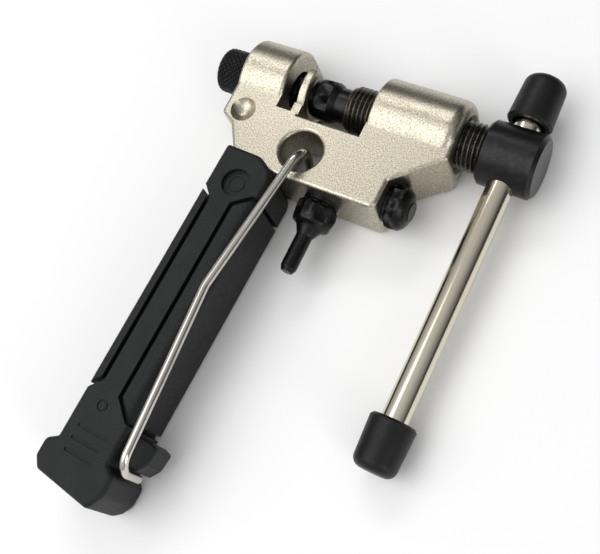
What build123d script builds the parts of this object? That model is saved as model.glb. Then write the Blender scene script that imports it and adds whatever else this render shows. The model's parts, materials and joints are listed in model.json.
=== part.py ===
"""Bicycle chain tool: a cast body on a moulded handle, a T-handled main screw that drives a
pin through the chain, an adjustable anvil, two spare tips and a wire chain hook.

The tool lies on its back: +Z is up, X runs along the main screw towards its T-bar, and -Y runs
down the handle. The origin is the middle of the tool's footprint, on the surface it lies on.
"""
from build123d import *
from math import cos, radians, sin, sqrt
import os

os.makedirs("parts", exist_ok=True)

# ---------------------------------------------------------------- driving dimensions (mm)
# The datum is the point where the screw axis leaves the anvil housing. Every other x, y and z
# below is counted from it.
datum_x, datum_y, datum_z = -28.2, 37.945, 7.0

running = 0.05                     # radial clearance of a turning or sliding fit
seat = 0.02                        # radial clearance between pieces that are fixed together
clear = 0.35                       # air between pieces that pass each other

half_plate = 6.6                   # half the body's thickness
housing_r = 8.4                    # round top of both housings
anvil_housing_length = 10.6
main_housing_start = 30.0
body_end = 48.3
throat_floor = -7.85               # y of the plate's edge under the driver tip
body_foot = -21.2                  # y of the body's lower wall
corner_x, corner_y = 39.3, -14.7   # inner end of the slanted wall
slant_end_y = -6.9

tooth_start, tooth_end = 13.6, 15.4
tooth_outer_r, tooth_inner_r = 7.3, 5.2
tooth_tip_y = 3.0
slot_floor = -7.5

thread_r, thread_pitch, thread_depth = 5.0, 1.0, 0.55
screw_start, screw_end = 23.1, 52.6
head_r, head_length = 6.55, 11.4
tenon_r, tenon_end = 4.0, 54.8
nose_r, nose_start = 2.6, 20.7

pin_r = 1.7                        # driving pins
collar_r, collar_length, neck_r = 4.2, 5.0, 3.7
collar_nose_r = 2.6
collar_start = 15.0                # the collar's nose dips into the tooth wall's ring

anvil_r, anvil_depth = 4.4, 0.45
anvil_pitch = 1.0
knob_r, knob_start, knob_end = 4.8, -7.6, -1.2

bar_x, bar_r = 58.2, 2.75
bar_tilt = 1.8                     # degrees, so that its lower cap rests beside the handle
cap_r, cap_end_r, cap_length, cap_gap = 4.65, 4.25, 10.2, 7.8
cap_mouth_r = 3.4
bar_low_rim = 55.4                 # from the screw axis to the lower cap's rim

handle_top_y, handle_mid_x = -19.0, 11.65
handle_lean = 1.98                 # degrees from -Y towards -X
handle_half, handle_front, handle_back = 6.15, 8.0, -7.0
tang_half_width, tang_half, tang_length = 3.4, 3.0, 46.0

hole_x, hole_y, hole_r = 20.1, -14.7, 4.3
long_tip_x = 26.4
short_tip_y = -17.0
seat_depth = 3.4                   # of both spare tips' seats
washer_r, washer_end = 3.7, 0.8
tip_waist_r, tip_collar_end, spare_pin_end = 3.3, 6.4, 16.1
dome_r = 4.3
flute_count, flute_r = 8, 0.8
wire_r, wire_z, hook_bend = 0.9, 9.2, 3.75

anvil_end, shank_r = 9.3, 3.5
pin_tip, pin_shoulder = 7.0, 19.0
front_round, back_round, palm_round = 1.0, 1.2, 2.4
grip_depth, groove = 1.4, 0.95
ring_u, ring_v, ring_r, ring_width = -0.9, -57.3, 1.15, 0.3
rib_length, rib_width, rib_pitch, rib_v, mark_depth = 7.0, 0.7, 2.5, -64.9, 0.25
plug_v, plug_r, plug_floor = -7.1, 3.0, 6.1
screw_r, screw_head_r, screw_seat, screw_tip = 1.6, 2.6, 4.4, -5.2
dowel_v, dowel_r = -40.0, 1.2
lug_back, lug_front = -3.2, 4.6
foot_reach = 10.0


# ---------------------------------------------------------------- helpers
def spot(x, y, z=0.0):
    """A point given from the datum."""
    return (datum_x + x, datum_y + y, datum_z + z)


def flat(z=0.0):
    """A plane parallel to the plate, with sketch axes along X and Y and its origin at the datum."""
    return Plane(origin=spot(0, 0, z))


def across(x):
    """A plane square to the screw axis: its sketch axes run along Y and Z."""
    return Plane(origin=spot(x, 0), x_dir=(0, 1, 0), z_dir=(1, 0, 0))


lean = radians(handle_lean)


def grip(z=0.0):
    """A plane of the leaning handle: its sketch origin is the middle of the handle's top edge."""
    return Plane(origin=spot(handle_mid_x, handle_top_y, z), x_dir=(cos(lean), -sin(lean), 0), z_dir=(0, 0, 1))


screw_axis = Axis(spot(0, 0), (1, 0, 0))
dowel_plane = Plane(origin=grip().from_local_coords((0, dowel_v, 0)), x_dir=(0, 0, 1),
                    z_dir=(cos(lean), -sin(lean), 0))
handle_section = Plane(origin=spot(handle_mid_x, handle_top_y), x_dir=(cos(lean), -sin(lean), 0),
                       z_dir=(-sin(lean), -cos(lean), 0))
foot_side = Plane(origin=grip().from_local_coords((-foot_reach, 0, 0)), x_dir=(sin(lean), cos(lean), 0),
                  z_dir=(cos(lean), -sin(lean), 0))
bar_down = (0, -cos(radians(bar_tilt)), -sin(radians(bar_tilt)))
bar_plane = Plane(origin=spot(bar_x, 0), x_dir=bar_down, z_dir=(1, 0, 0))
bar_axis = Axis(spot(bar_x, 0), bar_down)


def ridges(start, end, pitch, crest, root):
    """Outline points of a row of V ridges from start to end, at crest radius."""
    count = int((end - start) / pitch)
    points = []
    for i in range(count):
        x = start + i * pitch
        points += [(x + 0.12 * pitch, crest), (x + 0.5 * pitch, root), (x + 0.88 * pitch, crest)]
    return points


def write(piece, name):
    """Label a finished piece and write it to its own STEP file."""
    piece.part.label = name
    export_step(piece.part, "parts/" + name + ".step")


# ---------------------------------------------------------------- cast body
# The plate: a left ear round the dimple, a flat foot and a slanted right wall.
ear_corner, ear_waist = (-0.15, -12.1), (2.7, -13.3)
foot_corner, slant_low, slant_high = (corner_x, body_foot), (corner_x, corner_y), (body_end, slant_end_y)
with BuildPart() as plate:
    with BuildSketch(flat(-half_plate)) as plate_outline:
        with BuildLine():
            Polyline((0, 0), ear_corner, ear_waist, (6.4, -19.2), (6.4, body_foot), foot_corner,
                     slant_low, slant_high, (body_end, 0), (0, 0))
        make_face()
    extrude(amount=2 * half_plate)
    for corner, radius in ((ear_corner, 1.2), (ear_waist, 3.0), (foot_corner, 1.6), (slant_low, 0.8),
                           (slant_high, 1.2)):
        uprights = plate.edges().filter_by(Axis.Z)
        fillet(uprights.sort_by_distance(spot(*corner))[0], radius=radius)
    rims = plate.edges().filter_by(lambda e: abs(abs(e.center().Z - datum_z) - half_plate) < 0.01)
    fillet(rims.filter_by(lambda e: e.center().Y < datum_y - 5), radius=0.8)
    with BuildSketch(flat(-half_plate)) as throat_outline:
        with Locations(((tooth_end + main_housing_start) / 2, throat_floor + 10)):
            Rectangle(main_housing_start - tooth_end, 20)
    extrude(amount=2 * half_plate, mode=Mode.SUBTRACT)
    throat_rims = plate.edges().filter_by(Axis.X).filter_by(
        lambda e: abs(e.center().Y - datum_y - throat_floor) < 0.01)
    fillet(throat_rims, radius=0.6)

# Housing profile: a round top over straight sides, flat at the back.
with BuildPart() as anvil_housing:
    with BuildSketch(across(0)) as anvil_profile:
        with BuildLine():
            Line((-housing_r, -half_plate), (-housing_r, 0))
            ThreePointArc((-housing_r, 0), (0, housing_r), (housing_r, 0))
            Line((housing_r, 0), (housing_r, -half_plate))
            Line((housing_r, -half_plate), (-housing_r, -half_plate))
        make_face()
    extrude(amount=anvil_housing_length)
    end_rims = anvil_housing.edges().filter_by(lambda e: abs(e.center().X - datum_x) < 0.01)
    fillet(end_rims, radius=0.7)
    inner_rims = anvil_housing.edges().filter_by(
        lambda e: abs(e.center().X - datum_x - anvil_housing_length) < 0.01)
    fillet(inner_rims, radius=0.9)

with BuildPart() as main_housing:
    with BuildSketch(across(main_housing_start)) as main_profile:
        with BuildLine():
            Line((-housing_r, -half_plate), (-housing_r, 0))
            ThreePointArc((-housing_r, 0), (0, housing_r), (housing_r, 0))
            Line((housing_r, 0), (housing_r, -half_plate))
            Line((housing_r, -half_plate), (-housing_r, -half_plate))
        make_face()
    extrude(amount=body_end - main_housing_start)
    start_rims = main_housing.edges().filter_by(
        lambda e: abs(e.center().X - datum_x - main_housing_start) < 0.01)
    fillet(start_rims, radius=0.5)
    end_rims = main_housing.edges().filter_by(lambda e: abs(e.center().X - datum_x - body_end) < 0.01)
    fillet(end_rims, radius=2.4)

# The tooth wall: an open ring that the chain's roller sits in, rising from the plate.
tip_outer_z = sqrt(tooth_outer_r ** 2 - tooth_tip_y ** 2)
tip_inner_z = sqrt(tooth_inner_r ** 2 - tooth_tip_y ** 2)
with BuildPart() as tooth_wall:
    with BuildSketch(across(tooth_start)) as tooth_profile:
        with BuildLine():
            ThreePointArc((tooth_tip_y, tip_outer_z), (-tooth_outer_r, 0), (tooth_tip_y, -tip_outer_z))
            Line((tooth_tip_y, -tip_outer_z), (tooth_tip_y, -tip_inner_z))
            ThreePointArc((tooth_tip_y, -tip_inner_z), (-tooth_inner_r, 0), (tooth_tip_y, tip_inner_z))
            Line((tooth_tip_y, tip_inner_z), (tooth_tip_y, tip_outer_z))
        make_face()
        fillet(tooth_profile.vertices(), radius=0.8)
    extrude(amount=tooth_end - tooth_start)
    fillet(tooth_wall.edges(), radius=0.35)
    with BuildSketch(across(tooth_start)) as tooth_base:
        with Locations((-6.6, 0)):
            Rectangle(3.2, 2 * half_plate - 1.7)
        Circle(tooth_inner_r, mode=Mode.SUBTRACT)
    extrude(amount=tooth_end - tooth_start)
    with BuildSketch(across(tooth_start)) as behind_plate:
        with Locations((0, -half_plate - 5)):
            Rectangle(30, 10)
    extrude(amount=tooth_end - tooth_start, mode=Mode.SUBTRACT)

with BuildPart() as tang:
    with BuildSketch(grip(-tang_half)) as tang_outline:
        with Locations((0, -tang_length / 2 + 2)):
            Rectangle(2 * tang_half_width, tang_length + 4)
    extrude(amount=2 * tang_half)

with BuildPart() as tool_body:
    add(plate.part)
    with BuildSketch(flat(-half_plate)) as slot_outline:
        with Locations(((anvil_housing_length + tooth_start) / 2, slot_floor + 10)):
            Rectangle(tooth_start - anvil_housing_length, 20)
        with Locations(((tooth_start + tooth_end) / 2, slot_floor + 10)):
            Rectangle(tooth_end - tooth_start, 20)
    extrude(amount=2 * half_plate, mode=Mode.SUBTRACT)
    add(anvil_housing.part)
    add(main_housing.part)
    add(tooth_wall.part)
    add(tang.part)
    # anvil bore and main bore
    with BuildSketch(across(-1)):
        Circle(anvil_r + running)
    extrude(amount=anvil_housing_length + 2, mode=Mode.SUBTRACT)
    with BuildSketch(across(main_housing_start - 1)):
        Circle(thread_r + running)
    extrude(amount=body_end - main_housing_start + 2, mode=Mode.SUBTRACT)
    # mouth of the main bore
    with BuildSketch(flat()) as main_mouth:
        with BuildLine():
            Polyline((body_end - 1.0, 0), (body_end - 1.0, thread_r), (body_end + 0.2, thread_r + 1.3),
                     (body_end + 0.2, 0), (body_end - 1.0, 0))
        make_face()
    revolve(axis=screw_axis, mode=Mode.SUBTRACT)
    # large through hole with a rolled rim, opened out at the back
    with BuildSketch(flat()) as hole_profile:
        with Locations((hole_x, hole_y)):
            Circle(hole_r)
    extrude(amount=half_plate + 1, both=True, mode=Mode.SUBTRACT)
    rim = tool_body.edges().filter_by(GeomType.CIRCLE).filter_by(
        lambda e: abs(e.radius - hole_r) < 0.01 and e.center().Z > datum_z + half_plate - 0.1)
    fillet(rim, radius=0.95)
    with BuildSketch(flat(-half_plate)) as back_relief:
        with Locations((hole_x + 0.6, hole_y - 0.1)):
            Rectangle(11.2, 10.4)
        fillet(back_relief.vertices(), radius=1.6)
    extrude(amount=3.2, mode=Mode.SUBTRACT)
    # round dimple in the ear
    with Locations(spot(4.2, -10.3, half_plate + 1.8)):
        Sphere(3.25, mode=Mode.SUBTRACT)
    # threaded seats of the spare tips, with a spot face for the short one
    with BuildSketch(Plane(origin=spot(long_tip_x, body_foot - 1), x_dir=(1, 0, 0), z_dir=(0, 1, 0))):
        Circle(nose_r + running)
    extrude(amount=seat_depth + 1, mode=Mode.SUBTRACT)
    with BuildSketch(across(corner_x)):
        with Locations((short_tip_y, 0)):
            Circle(dome_r + clear)
    extrude(amount=6, mode=Mode.SUBTRACT)
    with BuildSketch(Plane(origin=spot(corner_x + 1, short_tip_y), x_dir=(0, 1, 0), z_dir=(-1, 0, 0))):
        Circle(nose_r + running)
    extrude(amount=seat_depth + 1, mode=Mode.SUBTRACT)
    # cross holes of the tang
    with BuildSketch(grip(-tang_half - 1)):
        with Locations((0, plug_v)):
            Circle(screw_r + seat)
    extrude(amount=2 * tang_half + 2, mode=Mode.SUBTRACT)
    with BuildSketch(dowel_plane):
        Circle(dowel_r + seat)
    extrude(amount=2 * tang_half_width + 2, both=True, mode=Mode.SUBTRACT)

write(tool_body, "tool_body")

# ---------------------------------------------------------------- anvil
anvil_bore, anvil_mouth = 2.0, 2.65
with BuildPart() as anvil_screw:
    with BuildSketch(flat()) as anvil_screw_profile:
        with BuildLine():
            Polyline((knob_start + 1.2, 0), (knob_start + 1.2, shank_r), (knob_end, shank_r),
                     (knob_end, anvil_r - anvil_depth),
                     *ridges(knob_end + 0.3, anvil_end, anvil_pitch, anvil_r, anvil_r - anvil_depth),
                     (anvil_end, anvil_r - anvil_depth), (anvil_end, anvil_mouth), (5.0, anvil_mouth),
                     (5.0, 0), (knob_start + 1.2, 0))
        make_face()
    revolve(axis=screw_axis)
write(anvil_screw, "anvil_screw")

with BuildPart() as anvil_face:
    with BuildSketch(flat()) as anvil_face_profile:
        with BuildLine():
            Polyline((anvil_end - 2.2, anvil_bore), (anvil_end - 2.2, anvil_mouth - running),
                     (anvil_end + 0.1, anvil_mouth - running), (anvil_end + 0.1, 3.6), (10.8, 3.6), (11.2, 3.2),
                     (11.2, anvil_bore), (anvil_end - 2.2, anvil_bore))
        make_face()
    revolve(axis=screw_axis)
    with BuildSketch(across(10.6)) as face_notches:
        with PolarLocations(3.6, 8):
            Circle(0.55)
    extrude(amount=1, mode=Mode.SUBTRACT)
write(anvil_face, "anvil_face")

with BuildPart() as anvil_knob:
    with BuildSketch(flat()) as knob_profile:
        with BuildLine():
            Polyline((knob_start, 0), (knob_start, knob_r), (knob_end, knob_r), (knob_end, shank_r + seat),
                     (knob_start + 1.15, shank_r + seat), (knob_start + 1.15, 0), (knob_start, 0))
        make_face()
        fillet(knob_profile.vertices().sort_by_distance((knob_start, knob_r))[0], radius=0.9)
        fillet(knob_profile.vertices().sort_by_distance((knob_end, knob_r))[0], radius=0.4)
    revolve(axis=screw_axis)
    with BuildSketch(across(knob_start + 0.6)) as knob_grooves:
        with PolarLocations(knob_r + 0.1, 30):
            Circle(0.28)
    extrude(amount=knob_end - knob_start - 1.2, mode=Mode.SUBTRACT)
write(anvil_knob, "anvil_knob")

# ---------------------------------------------------------------- driver and main screw
with BuildPart() as driver_pin:
    with BuildSketch(flat()) as pin_profile:
        with BuildLine():
            Polyline((pin_tip, 0), (pin_tip, pin_r - 0.3), (pin_tip + 0.3, pin_r), (pin_shoulder + 0.15, pin_r),
                     (pin_shoulder + 0.15, 2.3), (nose_start - 0.1, 2.3), (nose_start - 0.1, 0), (pin_tip, 0))
        make_face()
    revolve(axis=screw_axis)
write(driver_pin, "driver_pin")

with BuildPart() as driver_collar:
    with BuildSketch(flat()) as driver_collar_profile:
        with BuildLine():
            Polyline((collar_start, pin_r + running), (collar_start, collar_nose_r),
                     (collar_start + 2.0, collar_r), (collar_start + collar_length, collar_r),
                     (collar_start + collar_length + 0.4, neck_r), (screw_start, neck_r),
                     (screw_start, nose_r + seat), (pin_shoulder, nose_r + seat),
                     (pin_shoulder, pin_r + running), (collar_start, pin_r + running))
        make_face()
    revolve(axis=screw_axis)
    with BuildSketch(across(collar_start - 0.1)) as driver_flutes:
        with PolarLocations(collar_r + 0.35, flute_count):
            Circle(flute_r)
    extrude(amount=collar_length + 0.6, mode=Mode.SUBTRACT)
write(driver_collar, "driver_collar")

with BuildPart() as main_screw:
    with BuildSketch(flat()) as main_screw_profile:
        with BuildLine():
            Polyline((nose_start, 0), (nose_start, nose_r), (screw_start + 0.02, nose_r),
                     (screw_start + 0.02, thread_r - thread_depth),
                     *ridges(screw_start + 0.3, screw_end - 0.3, thread_pitch, thread_r, thread_r - thread_depth),
                     (screw_end - 0.02, thread_r - thread_depth), (screw_end - 0.02, tenon_r),
                     (tenon_end, tenon_r), (tenon_end, 0), (nose_start, 0))
        make_face()
    revolve(axis=screw_axis)
write(main_screw, "main_screw")

with BuildPart() as screw_head:
    with BuildSketch(flat()) as head_profile:
        with BuildLine():
            Polyline((screw_end, tenon_r + seat), (screw_end, head_r), (screw_end + head_length, head_r),
                     (screw_end + head_length, 0), (tenon_end + seat, 0), (tenon_end + seat, tenon_r + seat),
                     (screw_end, tenon_r + seat))
        make_face()
        chamfer(head_profile.vertices().sort_by_distance((screw_end, head_r))[0], length=0.6)
        chamfer(head_profile.vertices().sort_by_distance((screw_end + head_length, head_r))[0], length=0.8)
    revolve(axis=screw_axis)
    with BuildSketch(Plane(origin=spot(bar_x, 0), z_dir=bar_down)):
        Circle(bar_r + running)
    extrude(amount=2 * head_r, both=True, mode=Mode.SUBTRACT)
write(screw_head, "screw_head")

# ---------------------------------------------------------------- T-bar
bar_top, bar_bottom = 3.3 - cap_gap - cap_length, bar_low_rim + cap_length - 3.3
with BuildPart() as t_bar:
    with BuildSketch(bar_plane) as bar_profile:
        with BuildLine():
            Polyline((bar_top, 0), (bar_top, bar_r - 0.4), (bar_top + 0.4, bar_r), (bar_bottom - 0.4, bar_r),
                     (bar_bottom, bar_r - 0.4), (bar_bottom, 0), (bar_top, 0))
        make_face()
    revolve(axis=bar_axis)
write(t_bar, "t_bar")

for cap_name, rim, way in (("t_bar_cap_upper", -cap_gap, -1), ("t_bar_cap_lower", bar_low_rim, 1)):
    with BuildPart() as bar_cap:
        with BuildSketch(bar_plane) as cap_profile:
            with BuildLine():
                Polyline((rim + 0.8 * way, bar_r + seat), (rim + 0.8 * way, cap_mouth_r), (rim, cap_mouth_r),
                         (rim, cap_r - 0.4), (rim + 0.5 * way, cap_r), (rim + cap_length * way, cap_end_r),
                         (rim + cap_length * way, 0), (rim + (cap_length - 3.25) * way, 0),
                         (rim + (cap_length - 3.25) * way, bar_r + seat), (rim + 0.8 * way, bar_r + seat))
            make_face()
            cap_end = (rim + cap_length * way, cap_end_r)
            fillet(cap_profile.vertices().sort_by_distance(cap_end)[0], radius=2.0)
        revolve(axis=bar_axis)
    write(bar_cap, cap_name)

# ---------------------------------------------------------------- spare tips
long_tip_plane = Plane(origin=spot(long_tip_x, body_foot), x_dir=(0, -1, 0), z_dir=(0, 0, 1))
long_tip_axis = Axis(spot(long_tip_x, body_foot), (0, -1, 0))
with BuildPart() as spare_tip_washer:
    with BuildSketch(long_tip_plane) as long_washer_profile:
        with BuildLine():
            Polyline((0.02, nose_r + running), (0.02, washer_r), (washer_end, washer_r), (washer_end, nose_r + running),
                     (0.02, nose_r + running))
        make_face()
    revolve(axis=long_tip_axis)
write(spare_tip_washer, "spare_tip_washer")

with BuildPart() as spare_tip_collar:
    with BuildSketch(long_tip_plane) as tip_collar_profile:
        with BuildLine():
            Polyline((0.2 - seat_depth, pin_r + seat), (0.2 - seat_depth, nose_r), (washer_end + 0.02, nose_r),
                     (washer_end + 0.02, tip_waist_r), (washer_end + 0.8, tip_waist_r + 0.2),
                     (tip_collar_end - 1.1, collar_r), (tip_collar_end - 0.4, collar_r - 0.1),
                     (tip_collar_end, collar_r - 0.7), (tip_collar_end, pin_r + seat),
                     (0.2 - seat_depth, pin_r + seat))
        make_face()
    revolve(axis=long_tip_axis)
    with BuildSketch(Plane(origin=spot(long_tip_x, body_foot - 1.6), x_dir=(1, 0, 0), z_dir=(0, -1, 0))):
        with PolarLocations(collar_r + 0.35, flute_count):
            Circle(flute_r)
    extrude(amount=tip_collar_end, mode=Mode.SUBTRACT)
write(spare_tip_collar, "spare_tip_collar")

with BuildPart() as spare_tip_pin:
    with BuildSketch(long_tip_plane) as tip_pin_profile:
        with BuildLine():
            Polyline((0.4 - seat_depth, 0), (0.4 - seat_depth, pin_r), (spare_pin_end - 1.0, pin_r),
                     (spare_pin_end, pin_r - 0.5), (spare_pin_end, 0), (0.4 - seat_depth, 0))
        make_face()
    revolve(axis=long_tip_axis)
write(spare_tip_pin, "spare_tip_pin")

short_tip_plane = Plane(origin=spot(corner_x, short_tip_y), x_dir=(1, 0, 0), z_dir=(0, 0, 1))
short_tip_axis = Axis(spot(corner_x, short_tip_y), (1, 0, 0))
with BuildPart() as short_tip_washer:
    with BuildSketch(short_tip_plane) as short_washer_profile:
        with BuildLine():
            Polyline((0.02, nose_r + running), (0.02, washer_r), (washer_end, washer_r), (washer_end, nose_r + running),
                     (0.02, nose_r + running))
        make_face()
    revolve(axis=short_tip_axis)
write(short_tip_washer, "short_tip_washer")

with BuildPart() as short_tip:
    with BuildSketch(short_tip_plane) as short_tip_profile:
        with BuildLine():
            Polyline((0.2 - seat_depth, 0), (0.2 - seat_depth, nose_r), (washer_end + 0.02, nose_r),
                     (washer_end + 0.02, dome_r))
            Line((washer_end + 0.02, dome_r), (3.2, dome_r))
            ThreePointArc((3.2, dome_r), (4.25, 3.5), (4.5, 2.0))
            Polyline((4.5, 2.0), (4.7, 1.8), (4.7, 0), (0.2 - seat_depth, 0))
        make_face()
    revolve(axis=short_tip_axis)
    with BuildSketch(Plane(origin=spot(corner_x + washer_end, short_tip_y), x_dir=(0, 1, 0), z_dir=(1, 0, 0))):
        with PolarLocations(dome_r + 0.35, flute_count):
            Circle(flute_r)
    extrude(amount=3.0, mode=Mode.SUBTRACT)
write(short_tip, "short_tip")

# ---------------------------------------------------------------- handle
pad_outline = ((2.0, -11.8), (5.0, -9.4), (9.0, -9.4), (9.0, -57.4), (5.5, -57.4), (1.95, -54.1))
strip_outline = ((-9.0, -10.0), (-6.2, -10.5), (-4.2, -12.5), (-4.25, -52.5), (-6.2, -54.5), (-9.0, -54.5))

with BuildPart() as handle_blank:
    with BuildSketch(grip(handle_back)) as handle_outline:
        with BuildLine():
            Polyline((-handle_half, 0), (1.8, 0), (handle_half, -2.6), (handle_half, -66.2), (8.3, -67.6),
                     (8.3, -71.4), (6.4, -74.9), (-6.8, -73.1), (-8.35, -71.0), (-8.35, -67.3),
                     (-handle_half, -65.9), (-handle_half, 0))
        make_face()
        for corner, radius in (((-handle_half, 0), 0.6), ((1.8, 0), 4.0), ((handle_half, -2.6), 4.0),
                               ((handle_half, -66.2), 0.6), ((8.3, -67.6), 1.6), ((8.3, -71.4), 2.6),
                               ((6.4, -74.9), 1.1), ((-6.8, -73.1), 1.1), ((-8.35, -71.0), 1.1),
                               ((-8.35, -67.3), 1.4), ((-handle_half, -65.9), 0.6)):
            fillet(handle_outline.vertices().sort_by_distance(corner)[0], radius=radius)
    extrude(amount=handle_front - handle_back)
    front_rim = handle_blank.edges().filter_by(lambda e: abs(e.center().Z - datum_z - handle_front) < 0.01)
    fillet(front_rim, radius=front_round)
    back_rim = handle_blank.edges().filter_by(lambda e: abs(e.center().Z - datum_z - handle_back) < 0.01)
    fillet(back_rim, radius=back_round)
    # the foot's end face slopes in towards the back
    with BuildSketch(foot_side) as foot_slope:
        with BuildLine():
            Polyline((-72.4, handle_back - 1), (-76.6, -0.5), (-78, handle_back - 1), (-72.4, handle_back - 1))
        make_face()
    extrude(amount=2 * foot_reach, mode=Mode.SUBTRACT)

with BuildPart() as hook_lug:
    with BuildSketch(flat(lug_back)) as lug_outline:
        with BuildLine():
            Polyline((14, -78.2), (19.6, -78.2), (21.4, -78.8), (20.9, -82.3), (19.4, -84.35), (14, -84.35),
                     (14, -78.2))
        make_face()
        fillet(lug_outline.vertices().sort_by(Axis.X)[-4:], radius=0.7)
    extrude(amount=lug_front - lug_back)
    lug_front_rim = hook_lug.edges().filter_by(lambda e: abs(e.center().Z - datum_z - lug_front) < 0.01)
    fillet(lug_front_rim.filter_by(lambda e: e.center().X > datum_x + 14.1), radius=0.8)
    lug_back_rim = hook_lug.edges().filter_by(lambda e: abs(e.center().Z - datum_z - lug_back) < 0.01)
    chamfer(lug_back_rim.filter_by(lambda e: e.center().X > datum_x + 14.1), length=0.6)


def grip_cut(outline, grow, lift):
    """The shell between a prism over a grip area and the handle's inner block."""
    with BuildPart() as shell:
        with BuildSketch(grip(handle_back - 1)) as area:
            with BuildLine():
                Polyline(*outline, outline[0])
            make_face()
            if grow:
                offset(amount=grow, kind=Kind.INTERSECTION)
        extrude(amount=20)
        with BuildSketch(grip(handle_back - 1)):
            with Locations((0, -35)):
                Rectangle(2 * (handle_half - grip_depth + lift), 90)
        extrude(amount=handle_front - handle_back + 1 - grip_depth + lift, mode=Mode.SUBTRACT)
    return shell.part


with BuildPart() as handle_core:
    add(handle_blank.part)
    add(hook_lug.part)
    add(grip_cut(pad_outline, groove, 0), mode=Mode.SUBTRACT)
    add(grip_cut(strip_outline, groove, 0), mode=Mode.SUBTRACT)
    # pocket for the body's foot, open at the back, and the tang's slot
    with BuildSketch(flat(handle_back - 1)) as foot_pocket:
        with BuildLine():
            Polyline((2.658, -13.327), (6.35, -19.22), (6.35, body_foot - running), (30, body_foot - running),
                     (30, -13.3), (2.658, -13.327))
        make_face()
    extrude(amount=half_plate + running - handle_back + 1, mode=Mode.SUBTRACT)
    with BuildSketch(grip(-tang_half - seat)) as tang_slot:
        with Locations((0, (5 - tang_length - seat) / 2)):
            Rectangle(2 * (tang_half_width + seat), tang_length + seat + 5)
    extrude(amount=2 * (tang_half + seat), mode=Mode.SUBTRACT)
    # stepped bore of the plug and the screw under it
    for bore_r, floor in ((plug_r, plug_floor), (screw_head_r + seat, screw_seat), (screw_r + seat, screw_tip)):
        with BuildSketch(grip(floor)):
            with Locations((0, plug_v)):
                Circle(bore_r)
        extrude(amount=handle_front - floor + 1, mode=Mode.SUBTRACT)
    with BuildSketch(dowel_plane):
        Circle(dowel_r + seat)
    extrude(amount=handle_half, both=True, mode=Mode.SUBTRACT)
    # shallow ring and three finger ribs moulded into the foot's front
    with BuildSketch(grip(handle_front - mark_depth)) as front_marks:
        with Locations((ring_u, ring_v)):
            Circle(ring_r)
            Circle(ring_r - ring_width, mode=Mode.SUBTRACT)
        with Locations((0, rib_v)):
            with GridLocations(1, rib_pitch, 1, 3):
                SlotOverall(rib_length, rib_width)
    extrude(amount=1, mode=Mode.SUBTRACT)
write(handle_core, "handle_core")

with BuildPart() as grip_pad_right:
    add(handle_blank.part)
    add(grip_cut(pad_outline, 0, seat), mode=Mode.INTERSECT)
    with BuildSketch(handle_section) as palm_section:
        with Locations((handle_half - 10, handle_front - 10)):
            Rectangle(20, 20)
        fillet(palm_section.vertices().sort_by_distance((handle_half, handle_front))[0], radius=palm_round)
    extrude(amount=80, mode=Mode.INTERSECT)
write(grip_pad_right, "grip_pad_right")

with BuildPart() as grip_strip_left:
    add(handle_blank.part)
    add(grip_cut(strip_outline, 0, seat), mode=Mode.INTERSECT)
write(grip_strip_left, "grip_strip_left")

with BuildPart() as handle_plug:
    with BuildSketch(grip(plug_floor + seat)) as plug_outline:
        with Locations((0, plug_v)):
            Circle(plug_r - seat)
    extrude(amount=0.9)
    with BuildSketch(grip(plug_floor + seat + 0.75)) as plug_ring:
        with Locations((0, plug_v)):
            Circle(1.75)
            Circle(1.5, mode=Mode.SUBTRACT)
    extrude(amount=1, mode=Mode.SUBTRACT)
write(handle_plug, "handle_plug")

with BuildPart() as handle_screw:
    with BuildSketch(grip(screw_tip + 0.3)) as screw_shank:
        with Locations((0, plug_v)):
            Circle(screw_r)
    extrude(amount=plug_floor - screw_tip - 0.4)
    with BuildSketch(grip(screw_seat + 0.02)) as screw_cap:
        with Locations((0, plug_v)):
            Circle(screw_head_r)
    extrude(amount=plug_floor - screw_seat - 0.12)
    with BuildSketch(grip(plug_floor - 1.0)) as screw_socket:
        with Locations((0, plug_v)):
            RegularPolygon(1.15, 6)
    extrude(amount=2, mode=Mode.SUBTRACT)
write(handle_screw, "handle_screw")

with BuildPart() as handle_dowel:
    with BuildSketch(dowel_plane):
        Circle(dowel_r)
    extrude(amount=handle_half - grip_depth - 0.1, both=True)
write(handle_dowel, "handle_dowel")

# ---------------------------------------------------------------- chain hook
with BuildPart() as chain_hook:
    with BuildLine() as hook_path:
        FilletPolyline(spot(21.3, -16.6, -3.0), spot(21.46, -14.06, wire_z), spot(16.64, -47.75, wire_z),
                       spot(18.7, -85.4, wire_z), spot(18.8, -85.4, 0.6), radius=hook_bend)
    with BuildSketch(Plane(origin=hook_path.line @ 0, z_dir=hook_path.line % 0)):
        Circle(wire_r)
    sweep()
write(chain_hook, "chain_hook")
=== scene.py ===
"""Looks for the chain tool: camera, light, materials and the finely shaped pieces."""
import json
from math import cos, radians, sin, sqrt, tau

import bmesh
import bpy
from mathutils import Matrix, Vector


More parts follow.
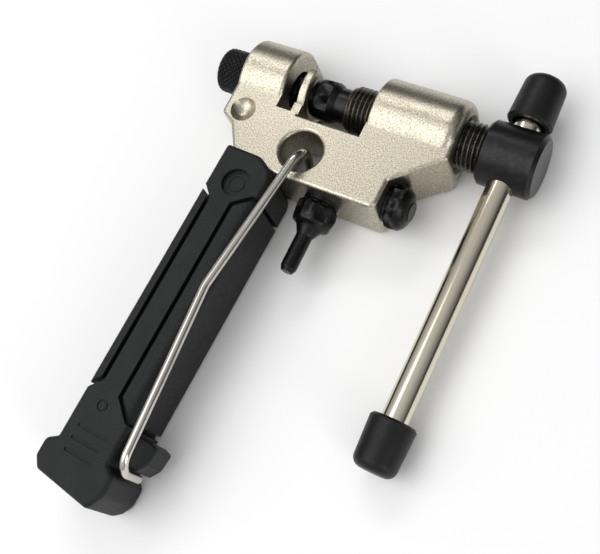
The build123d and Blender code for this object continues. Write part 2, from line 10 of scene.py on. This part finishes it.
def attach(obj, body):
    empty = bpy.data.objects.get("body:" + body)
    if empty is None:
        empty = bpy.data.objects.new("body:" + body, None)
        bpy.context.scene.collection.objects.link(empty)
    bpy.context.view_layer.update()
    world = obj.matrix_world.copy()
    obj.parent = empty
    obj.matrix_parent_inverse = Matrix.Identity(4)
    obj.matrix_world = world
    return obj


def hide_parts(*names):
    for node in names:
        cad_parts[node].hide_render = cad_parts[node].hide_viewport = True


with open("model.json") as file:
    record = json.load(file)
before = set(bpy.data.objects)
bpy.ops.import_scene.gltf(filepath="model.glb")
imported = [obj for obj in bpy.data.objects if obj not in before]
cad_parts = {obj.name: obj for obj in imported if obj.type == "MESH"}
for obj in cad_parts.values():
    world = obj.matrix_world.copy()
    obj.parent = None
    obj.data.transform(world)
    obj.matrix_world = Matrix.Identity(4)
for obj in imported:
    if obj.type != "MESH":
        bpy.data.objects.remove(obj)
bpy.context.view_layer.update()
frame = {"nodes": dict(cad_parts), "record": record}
nodes = frame["nodes"]

MM = 0.001
DATUM = Vector((-28.2, 37.945, 7.0))      # where the screw axis leaves the anvil housing, mm


def at(x, y, z):
    """A point in metres from millimetres counted from the datum."""
    return (DATUM + Vector((x, y, z))) * MM


# ---------------------------------------------------------------- node material helpers
def scaled(colour, factor):
    return tuple(c * factor for c in colour)


def rgba(tone):
    """An opaque colour from a grey level or from a tuple of red, green and blue."""
    return (*tone, 1) if isinstance(tone, tuple) else (tone, tone, tone, 1)


class Mat:
    """A Principled material with a few helpers for its node tree."""

    def __init__(self, name, **sockets):
        self.material = bpy.data.materials.new(name)
        self.material.use_nodes = True
        self.tree = self.material.node_tree
        self.shader = self.tree.nodes["Principled BSDF"]
        for key, value in sockets.items():
            self.shader.inputs[key.replace("_", " ")].default_value = value

    def node(self, kind, **settings):
        made = self.tree.nodes.new(kind)
        for key, value in settings.items():
            setattr(made, key, value)
        return made

    def link(self, source, target):
        self.tree.links.new(source, target)

    def drive(self, socket, source):
        """Feeds a socket of the shader."""
        self.link(source, self.shader.inputs[socket])

    def noise(self, scale, detail=2.0, roughness=0.5, stretch=None):
        """A noise in object space. The scale counts per metre."""
        texture = self.node("ShaderNodeTexNoise")
        texture.inputs["Scale"].default_value = scale
        texture.inputs["Detail"].default_value = detail
        texture.inputs["Roughness"].default_value = roughness
        place = self.node("ShaderNodeTexCoord").outputs["Object"]
        if stretch:
            mapping = self.node("ShaderNodeMapping")
            mapping.inputs["Scale"].default_value = stretch
            self.link(place, mapping.inputs["Vector"])
            place = mapping.outputs["Vector"]
        self.link(place, texture.inputs["Vector"])
        return texture.outputs["Fac"]

    def ramp(self, source, low, high, start=0.3, end=0.7):
        """Goes from low to high while the source goes from start to end."""
        ramp = self.node("ShaderNodeValToRGB")
        for element, position, tone in zip(ramp.color_ramp.elements, (start, end), (low, high)):
            element.position = position
            element.color = rgba(tone)
        self.link(source, ramp.inputs["Fac"])
        return ramp.outputs["Color"]

    def bump(self, height, strength, distance, under=None):
        """Surface relief, the distance in metres, over an earlier relief if one is given."""
        bump = self.node("ShaderNodeBump")
        bump.inputs["Strength"].default_value = strength
        bump.inputs["Distance"].default_value = distance
        self.link(height, bump.inputs["Height"])
        if under:
            self.link(under, bump.inputs["Normal"])
        return bump.outputs["Normal"]


# ---------------------------------------------------------------- materials
def cast_nickel():
    m = Mat("cast_nickel", Metallic=1.0)
    grain = m.noise(3600, detail=3, roughness=0.7)
    patches = m.noise(160, detail=3, roughness=0.55)
    waves = m.bump(m.noise(420), strength=0.25, distance=0.00012)
    dark, pale = (0.26, 0.235, 0.18), (0.68, 0.63, 0.515)
    m.drive("Base Color", m.ramp(grain, dark, pale, start=0.36, end=0.64))
    m.drive("Roughness", m.ramp(patches, 0.28, 0.36))
    m.drive("Normal", m.bump(grain, strength=0.45, distance=0.00008, under=waves))
    return m.material


def black_oxide(name, base, rough, painted_highlight_base=None):
    """Blackened steel; a paler base given for the end is painted on the faces that look along +X, a
    painted highlight where the side lamp lights the end face.
    """
    m = Mat(name, Metallic=0.85)
    stain = m.noise(900, detail=4, roughness=0.6)
    tone = m.ramp(stain, base, scaled(base, 1.7), start=0.35, end=0.75)
    # painted highlight: faces that look along +X are painted paler, with a mottle, in place of the
    # side lamp's light on the end face
    if painted_highlight_base:
        facing = m.node("ShaderNodeSeparateXYZ")
        m.link(m.node("ShaderNodeTexCoord").outputs["Normal"], facing.inputs["Vector"])
        painted_highlight_mottle = m.noise(500, detail=4, roughness=0.6)
        mix = m.node("ShaderNodeMix", data_type="RGBA")
        m.link(m.ramp(facing.outputs["X"], 0.0, 1.0, start=0.93, end=0.97), mix.inputs["Factor"])
        m.link(tone, mix.inputs["A"])
        m.link(m.ramp(painted_highlight_mottle, painted_highlight_base, scaled(painted_highlight_base, 1.5)), mix.inputs["B"])
        tone = mix.outputs["Result"]
    sheen = m.noise(2400, detail=3, roughness=0.6)
    m.drive("Base Color", tone)
    m.drive("Roughness", m.ramp(sheen, rough - 0.06, rough + 0.1))
    m.drive("Normal", m.bump(m.noise(3000), strength=0.15, distance=0.00003))
    return m.material


def plated(name, base, rough):
    """Bright plating with fine lines drawn along Y."""
    m = Mat(name, Metallic=1.0)
    lines = m.noise(900, detail=3, roughness=0.6, stretch=(1.0, 0.02, 1.0))
    m.drive("Base Color", m.ramp(lines, scaled(base, 0.93), base))
    m.drive("Roughness", m.ramp(lines, rough * 0.8, rough * 1.3))
    m.drive("Normal", m.bump(lines, strength=0.12, distance=0.00002))
    return m.material


def moulded(name, base, rough, scale, depth):
    """Moulded plastic with a fine eroded grain, scale per metre and depth in metres."""
    m = Mat(name, Metallic=0.0, Specular_IOR_Level=0.25)
    grain = m.noise(scale, detail=3, roughness=0.6)
    cloud = m.noise(220, detail=3)
    m.drive("Base Color", m.ramp(cloud, scaled(base, 0.85), scaled(base, 1.25)))
    m.drive("Roughness", m.ramp(grain, rough - 0.08, rough + 0.12, start=0.35, end=0.65))
    m.drive("Normal", m.bump(grain, strength=0.8, distance=depth))
    return m.material


OXIDE = black_oxide("black_oxide", base=(0.014, 0.014, 0.015), rough=0.30)
# painted highlight: the head's end face is painted paler than the rest of the head
OXIDE_HEAD = black_oxide("black_oxide_head", base=(0.018, 0.018, 0.019), rough=0.36,
                         painted_highlight_base=(0.06, 0.06, 0.062))
OXIDE_WORN = black_oxide("black_oxide_worn", base=(0.06, 0.054, 0.044), rough=0.24)

# by material slot of the record
FINISH = {
    "cast_nickel": cast_nickel(),
    "black_oxide": OXIDE,
    "bar_nickel": plated("bar_nickel", base=(0.72, 0.66, 0.54), rough=0.15),
    "wire_chrome": plated("wire_chrome", base=(0.62, 0.60, 0.55), rough=0.14),
    "cap_plastic": moulded("cap_plastic", base=(0.006, 0.006, 0.007), rough=0.42,
                           scale=2600, depth=0.00005),
    "handle_nylon": moulded("handle_nylon", base=(0.009, 0.010, 0.010), rough=0.48,
                            scale=3000, depth=0.00016),
    "grip_nylon": moulded("grip_nylon", base=(0.008, 0.009, 0.009), rough=0.50,
                          scale=2600, depth=0.00018),
}

# ---------------------------------------------------------------- shading of the CAD nodes
WELD = 0.0000005          # m, closes the CAD mesh along its face borders
SHARP_EDGE = 32           # degrees, edges from here on stay sharp


def soft_shading():
    """A node group that shades a mesh smooth, apart from its sharp edges."""
    group = bpy.data.node_groups.new("soft_shading", "GeometryNodeTree")
    for way in ("INPUT", "OUTPUT"):
        group.interface.new_socket("Geometry", in_out=way, socket_type="NodeSocketGeometry")
    start = group.nodes.new("NodeGroupInput")
    weld = group.nodes.new("GeometryNodeMergeByDistance")
    weld.inputs["Distance"].default_value = WELD
    faces = group.nodes.new("GeometryNodeSetShadeSmooth")
    faces.inputs["Shade Smooth"].default_value = True
    edges = group.nodes.new("GeometryNodeSetShadeSmooth")
    edges.domain = "EDGE"
    angle = group.nodes.new("GeometryNodeInputMeshEdgeAngle")
    gentle = group.nodes.new("FunctionNodeCompare")
    gentle.operation = "LESS_THAN"
    gentle.inputs["B"].default_value = radians(SHARP_EDGE)
    end = group.nodes.new("NodeGroupOutput")
    group.links.new(start.outputs[0], weld.inputs["Geometry"])
    group.links.new(weld.outputs["Geometry"], faces.inputs["Geometry"])
    group.links.new(faces.outputs["Geometry"], edges.inputs["Geometry"])
    group.links.new(angle.outputs["Unsigned Angle"], gentle.inputs["A"])
    group.links.new(gentle.outputs["Result"], edges.inputs["Shade Smooth"])
    group.links.new(edges.outputs["Geometry"], end.inputs[0])
    return group


SOFT = soft_shading()
for part in frame["record"]["subparts"]:
    obj = nodes[part["node"]]
    obj.data.materials.clear()
    obj.data.materials.append(FINISH[part["material_slot"]])
    obj.modifiers.new("soft_shading", "NODES").node_group = SOFT
    normals = obj.modifiers.new("weighted_normals", "WEIGHTED_NORMAL")
    normals.keep_sharp = True
# the screw head takes the material with the painted highlight on its end face
nodes["screw_head"].data.materials[0] = OXIDE_HEAD


# ---------------------------------------------------------------- mesh helpers
def mesh_piece(name, points, faces, material, body, stands_for, sharp):
    """A mesh object that rides on a body in place of CAD nodes; sharp is in degrees."""
    mesh = bpy.data.meshes.new(name)
    mesh.from_pydata(points, [], faces)
    mesh.materials.append(material)
    shell = bmesh.new()
    shell.from_mesh(mesh)
    bmesh.ops.recalc_face_normals(shell, faces=shell.faces)
    shell.to_mesh(mesh)
    shell.free()
    obj = bpy.data.objects.new(name, mesh)
    bpy.context.scene.collection.objects.link(obj)
    mesh.shade_smooth()
    mesh.set_sharp_from_angle(angle=radians(sharp))
    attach(obj, body)
    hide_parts(*stands_for)


def turned(name, stations, radius, sides, material, body, stands_for, sharp, place=at):
    """A closed turned piece along its axis. radius(x, angle) gives its surface in mm."""
    points, faces = [], []
    for x in stations:
        for k in range(sides):
            angle = tau * k / sides
            r = radius(x, angle)
            points.append(place(x, r * cos(angle), r * sin(angle)))
    last = len(stations) - 1
    for j in range(last):
        for k in range(sides):
            n = (k + 1) % sides
            faces.append((j * sides + k, j * sides + n, (j + 1) * sides + n, (j + 1) * sides + k))
    faces.append(tuple(reversed(range(sides))))
    faces.append(tuple(range(last * sides, (last + 1) * sides)))
    mesh_piece(name, points, faces, material, body, stands_for, sharp)


def steps(start, end, step):
    """Even stations from start to end, both included."""
    count = max(1, round((end - start) / step))
    return [start + (end - start) * i / count for i in range(count + 1)]


def clamp(value, low=0.0, high=1.0):
    return max(low, min(high, value))


# ---------------------------------------------------------------- main screw
# Stations along X from the datum, and radii, in mm.
SCREW_FROM, NOSE_TO = 20.7, 23.08             # the plain nose under the driver's collar
THREAD_FROM, EVEN_FROM, THREAD_TO = 23.12, 23.2, 52.56    # evenly spaced from the second on
SHANK_FROM, SCREW_TO = 52.6, 54.8             # the plain shank in the head
NOSE_R, CREST_R, SHANK_R = 2.6, 5.0, 4.0
THREAD_STEP = 0.1
THREAD_DEPTH, PITCH = 0.62, 1.0
RUN_OUT_FROM, RUN_OUT_TO = 23.0, 52.7         # where the ridge has no height any more
RUN_OUT = 1.2                                 # length of each run-out, in pitches
FLANK = 0.38                                  # width of a flank, in pitches


def main_screw_radius(x, angle):
    """A right-hand V thread that runs out at both ends, between two plain lengths."""
    if x <= NOSE_TO:
        return NOSE_R
    if x >= SHANK_FROM:
        return SHANK_R
    phase = (x / PITCH - angle / tau) % 1.0
    height = clamp(abs(phase - 0.5) / FLANK)
    fade = clamp(min(x - RUN_OUT_FROM, RUN_OUT_TO - x) / (RUN_OUT * PITCH))
    return CREST_R - THREAD_DEPTH + THREAD_DEPTH * height * fade


turned("main_screw_thread",
       [SCREW_FROM, NOSE_TO, THREAD_FROM] + steps(EVEN_FROM, THREAD_TO, THREAD_STEP)
       + [SHANK_FROM, SCREW_TO],
       main_screw_radius, 96, OXIDE_WORN, "spindle", ("main_screw",), sharp=50)

# ---------------------------------------------------------------- fluted collars and tips
# Profiles are (station, radius) in mm: the collar's along X from the datum, and each tip's
# along its own axis from where it meets the body.
COLLAR = ((14.4, 3.4), (14.8, 3.9), (16.0, 4.25), (19.0, 4.35), (19.5, 4.2), (20.5, 3.65),
          (23.08, 3.65))
TIP_STUD = ((-3.2, 2.6), (0.8, 2.6))          # a tip's plain end, inside the body and its washer
LONG_TIP = TIP_STUD + ((0.82, 3.3), (1.0, 3.75), (1.8, 4.4), (2.4, 4.45), (4.9, 4.12),
                       (5.5, 3.85), (5.9, 2.95), (6.3, 2.6), (7.8, 1.8), (8.0, 1.72))
SHORT_TIP = TIP_STUD + ((0.82, 4.2), (1.1, 4.5), (2.8, 4.55), (3.5, 4.35), (4.2, 3.8),
                        (4.7, 3.0), (4.95, 2.3), (5.0, 2.1), (5.2, 2.0))
FLUTE_STEP = 0.08
FLUTE_SIDES = 180
FLUTE_SHARP = 35
LONG_TIP_X, LONG_TIP_Y = 26.4, -21.2          # where the long tip meets the body; it points to -Y
SHORT_TIP_X, SHORT_TIP_Y = 39.3, -17.0        # where the short tip meets it; it points to +X


def along(profile, x):
    """Radius at x of a profile given as (x, radius) points in order."""
    for (x0, r0), (x1, r1) in zip(profile, profile[1:]):
        if x <= x1:
            return r0 + (r1 - r0) * clamp((x - x0) / (x1 - x0))
    return profile[-1][1]


def scallop(angle, count):
    """1 in the middle of a flute, 0 on the ridge between two flutes."""
    across = abs(2 * ((count * angle / tau) % 1.0) - 1)
    return 1 - across * across


def fluted(profile, count, depth, start, deepen, end, fade):
    """The radius function of a profile with flutes cut in it from start to end.

    They reach their depth over the length deepen and run out over the length fade.
    """
    def radius(x, angle):
        deep = clamp((x - start) / deepen) * clamp((end - x) / fade)
        return along(profile, x) - depth * scallop(angle, count) * deep
    return radius


def tip_stations(profile):
    """The two ends of the stud, then even stations to the end of the profile."""
    (stud_from, _), (stud_to, _), (head_from, _) = profile[:3]
    return [stud_from, stud_to] + steps(head_from, profile[-1][0], FLUTE_STEP)


def long_tip_point(x, a, b):
    return at(LONG_TIP_X + a, LONG_TIP_Y - x, b)


def short_tip_point(x, a, b):
    return at(SHORT_TIP_X + x, SHORT_TIP_Y + a, b)


turned("driver_collar_fluted", steps(COLLAR[0][0], COLLAR[-1][0], FLUTE_STEP),
       fluted(COLLAR, 10, depth=0.75, start=15.8, deepen=2.6, end=19.05, fade=0.12),
       FLUTE_SIDES, OXIDE, "driver", ("driver_collar",), FLUTE_SHARP)
turned("long_tip_collar_fluted", tip_stations(LONG_TIP),
       fluted(LONG_TIP, 10, depth=0.7, start=0.8, deepen=0.3, end=5.4, fade=2.6),
       FLUTE_SIDES, OXIDE, "long_tip", ("spare_tip_collar",), FLUTE_SHARP,
       long_tip_point)
turned("short_tip_fluted", tip_stations(SHORT_TIP),
       fluted(SHORT_TIP, 12, depth=0.6, start=0.8, deepen=0.05, end=3.4, fade=1.6),
       FLUTE_SIDES, OXIDE, "dome_tip", ("short_tip",), FLUTE_SHARP,
       short_tip_point)

# ---------------------------------------------------------------- anvil knob
KNOB_FROM, KNOB_TO = -7.6, -1.2               # stations along X from the datum, mm
KNOB_R = 4.8
ROUND_OUT, ROUND_IN = 0.9, 0.4                # rounding of the outer and the inner edge, mm
KNURLS, KNURL_LEAD = 26, 1.16                 # grooves each way round, and X from one to the next
KNURL_WIDTH = 0.55                            # half width of a groove against half its spacing
KNURL_DEPTH = 0.32
KNOB_STEP, KNOB_END_GAP = 0.1, 0.01


def rounded(edge):
    """How far a rounded edge falls back, from 1 at the end face to 0 past the rounding."""
    return 1 - sqrt(1 - (1 - edge) ** 2)


def knob_radius(x, angle):
    """A round knob with two crossing sets of grooves."""
    edge_out = clamp((x - KNOB_FROM) / ROUND_OUT)
    edge_in = clamp((KNOB_TO - x) / ROUND_IN)
    plain = KNOB_R - ROUND_OUT * rounded(edge_out) - ROUND_IN * rounded(edge_in)
    turn = KNURLS * angle / tau
    left = abs(((turn + x / KNURL_LEAD) % 1.0) - 0.5) * 2
    right = abs(((turn - x / KNURL_LEAD) % 1.0) - 0.5) * 2
    groove = clamp(1 - min(left, right) / KNURL_WIDTH)
    return plain - KNURL_DEPTH * groove * edge_out * edge_in


turned("knob_knurl",
       [KNOB_FROM] + steps(KNOB_FROM + KNOB_END_GAP, KNOB_TO - KNOB_END_GAP, KNOB_STEP) + [KNOB_TO],
       knob_radius, 260, OXIDE, "anvil_adjuster", ("anvil_knob",), sharp=60)

# ---------------------------------------------------------------- floor
FLOOR_HALF, FLOOR_Z = 3, -0.0002              # m, just under the tool
floor_mesh = bpy.data.meshes.new("floor")
floor_mesh.from_pydata([(x * FLOOR_HALF, y * FLOOR_HALF, FLOOR_Z)
                        for x, y in ((-1, -1), (1, -1), (1, 1), (-1, 1))], [], [(0, 1, 2, 3)])
floor = bpy.data.objects.new("floor", floor_mesh)
bpy.context.scene.collection.objects.link(floor)
paper = Mat("paper", Roughness=0.9)
paper.drive("Base Color", paper.ramp(paper.noise(3), 0.92, 0.94, start=0.2, end=0.8))
floor_mesh.materials.append(paper.material)

# ---------------------------------------------------------------- light
# Each lamp aims at the origin: place and size in metres, power in watts.
LAMPS = (
    ("key", (-0.34, 0.50, 0.66), (0.50, 0.14), 1.3),
    ("softbox", (-0.33, -0.28, 0.72), (0.80, 0.76), 3.9),
    ("side", (0.70, -0.30, 0.30), (0.25, 0.60), 1.6),
)
for name, place, size, power in LAMPS:
    lamp = bpy.data.lights.new(name, "AREA")
    lamp.shape = "RECTANGLE"
    lamp.size, lamp.size_y = size
    lamp.energy = power
    obj = bpy.data.objects.new(name, lamp)
    obj.location = place
    obj.rotation_euler = (-Vector(place)).to_track_quat("-Z", "Y").to_euler()
    bpy.context.scene.collection.objects.link(obj)

# The surroundings brighten from one side of the sky to the other.
BRIGHT_SIDE = (-0.2, -0.5, 0.85)
SKY = {"From Min": -0.1, "From Max": 0.9, "To Min": 0.04, "To Max": 0.75}
world = bpy.data.worlds.new("studio")
world.use_nodes = True
sky = world.node_tree.nodes
backdrop = sky["Background"]
backdrop.inputs["Color"].default_value = (1, 1, 1, 1)
heading = sky.new("ShaderNodeTexCoord")
toward = sky.new("ShaderNodeVectorMath")
toward.operation = "DOT_PRODUCT"
toward.inputs[1].default_value = BRIGHT_SIDE
rise = sky.new("ShaderNodeMapRange")
for socket, value in SKY.items():
    rise.inputs[socket].default_value = value
world.node_tree.links.new(heading.outputs["Generated"], toward.inputs[0])
world.node_tree.links.new(toward.outputs["Value"], rise.inputs["Value"])
world.node_tree.links.new(rise.outputs["Result"], backdrop.inputs["Strength"])
bpy.context.scene.world = world

# ---------------------------------------------------------------- camera
SENSOR, LENS, NEAR = 36.0, 58.6, 0.005        # mm, mm, m
CAMERA_PLACE = at(99.893, -78.394, 172.864)
RIGHT = (0.8634, 0.4390, -0.2471)
UP = (-0.3439, 0.8718, 0.3478)
BACK = (0.3681, -0.2153, 0.9044)
camera_data = bpy.data.cameras.new("camera")
camera_data.sensor_width = SENSOR
camera_data.lens = LENS
camera_data.clip_start = NEAR
camera = bpy.data.objects.new("camera", camera_data)
turn = Matrix((RIGHT, UP, BACK)).transposed()
camera.matrix_world = Matrix.Translation(CAMERA_PLACE) @ turn.to_4x4()
bpy.context.scene.collection.objects.link(camera)
bpy.context.scene.camera = camera
bpy.context.scene.view_settings.view_transform = "Standard"
